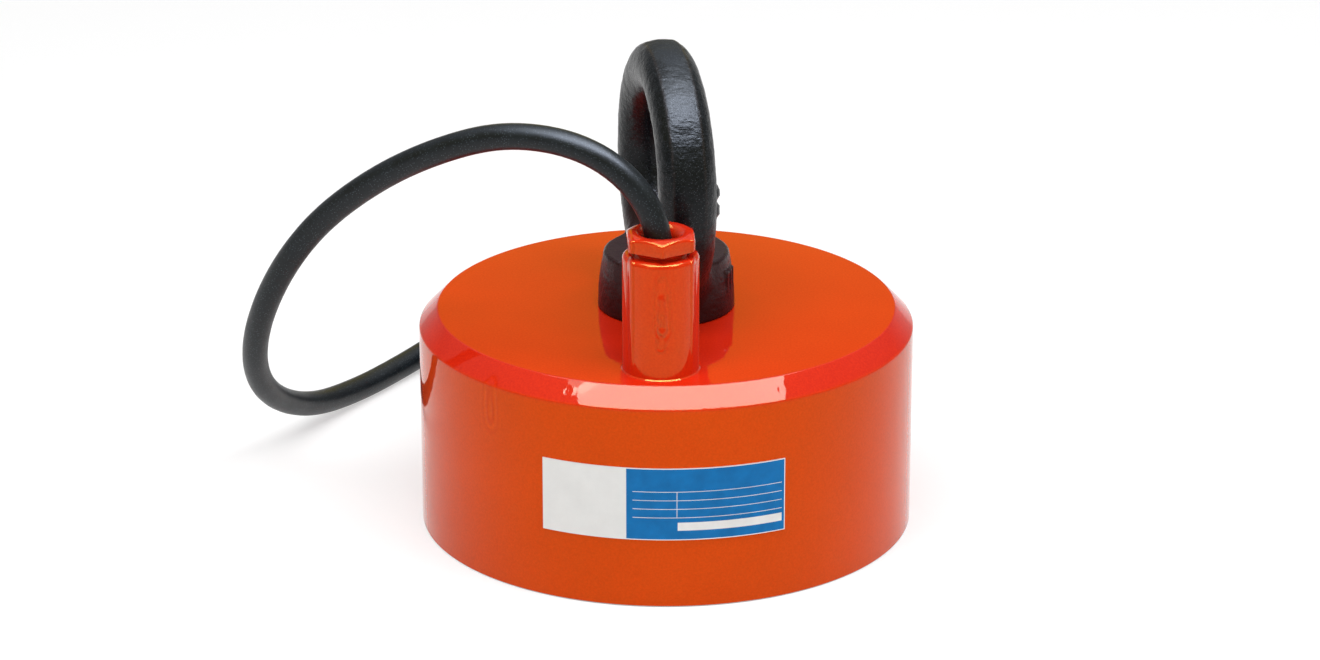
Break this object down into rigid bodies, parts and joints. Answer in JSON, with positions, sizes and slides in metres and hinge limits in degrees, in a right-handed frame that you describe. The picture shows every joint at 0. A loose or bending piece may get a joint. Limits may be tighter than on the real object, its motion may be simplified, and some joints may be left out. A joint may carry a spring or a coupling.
{
  "type": "lifting electromagnet",
  "caption": "Round lifting electromagnet with a forged eye bolt, an upright cable boss with a screwed gland, and a rubber cord that ends in a connector.",
  "frame": {"origin": "centre of the attracting face, on the axis of the pot", "axes": "+Z along the pot's axis, from the attracting face up to the eye; -Y is the front, through the cable boss; +X to the right as seen from the front"},
  "size_m": [0.2757, 0.351, 0.1992],
  "materials": {
    "orange_enamel": "glossy sprayed enamel; the attracting face is left bare and ground",
    "black_forging": "black oxide on a forged, lightly pitted skin",
    "bobbin_plastic": "moulded, matte",
    "winding_copper": "enamelled copper wire, glossy",
    "glass_tape": "woven glass tape",
    "casting_resin": "cast, glossy",
    "face_brass": "turned, satin",
    "washer_steel": "zinc plated",
    "packing_rubber": "matte",
    "bush_plastic": "matte",
    "core_white": "extruded, satin",
    "core_black": "extruded, satin",
    "sleeve_copper": "crimped copper, satin",
    "tail_copper": "enamelled copper, glossy",
    "plate_aluminium": "satin, with one silver field and one blue field",
    "cord_rubber": "extruded rubber sheath, satin",
    "tie_nylon": "moulded nylon",
    "boot_rubber": "moulded, matte",
    "connector_metal": "turned and plated, satin",
    "insert_plastic": "moulded, matte",
    "pin_brass": "turned and gold plated"
  },
  "bodies": {
    "root": {"magnet_yoke": "orange_enamel", "coil_former": "bobbin_plastic", "coil_winding": "winding_copper", "winding_tape": "glass_tape", "potting_resin": "casting_resin", "face_ring": "face_brass", "eye_bolt": "black_forging", "cable_boss": "orange_enamel", "gland_nut": "orange_enamel", "gland_washer_upper": "washer_steel", "gland_packing": "packing_rubber", "gland_washer_lower": "washer_steel", "lead_bush": "bush_plastic", "core_lead_outer": "core_white", "core_lead_inner": "core_black", "splice_sleeve_outer": "sleeve_copper", "splice_sleeve_inner": "sleeve_copper", "coil_tail_outer": "tail_copper", "coil_tail_inner": "tail_copper", "nameplate": "plate_aluminium", "supply_cord": "cord_rubber", "cord_coil": "cord_rubber", "cord_tail": "cord_rubber", "cord_tie": "tie_nylon", "connector_boot": "boot_rubber", "connector_clamp_nut": "connector_metal", "connector_shell": "connector_metal", "connector_ring": "connector_metal", "connector_insert": "insert_plastic", "contact_pin_left": "pin_brass", "contact_pin_right": "pin_brass"}
  },
  "joints": []
}
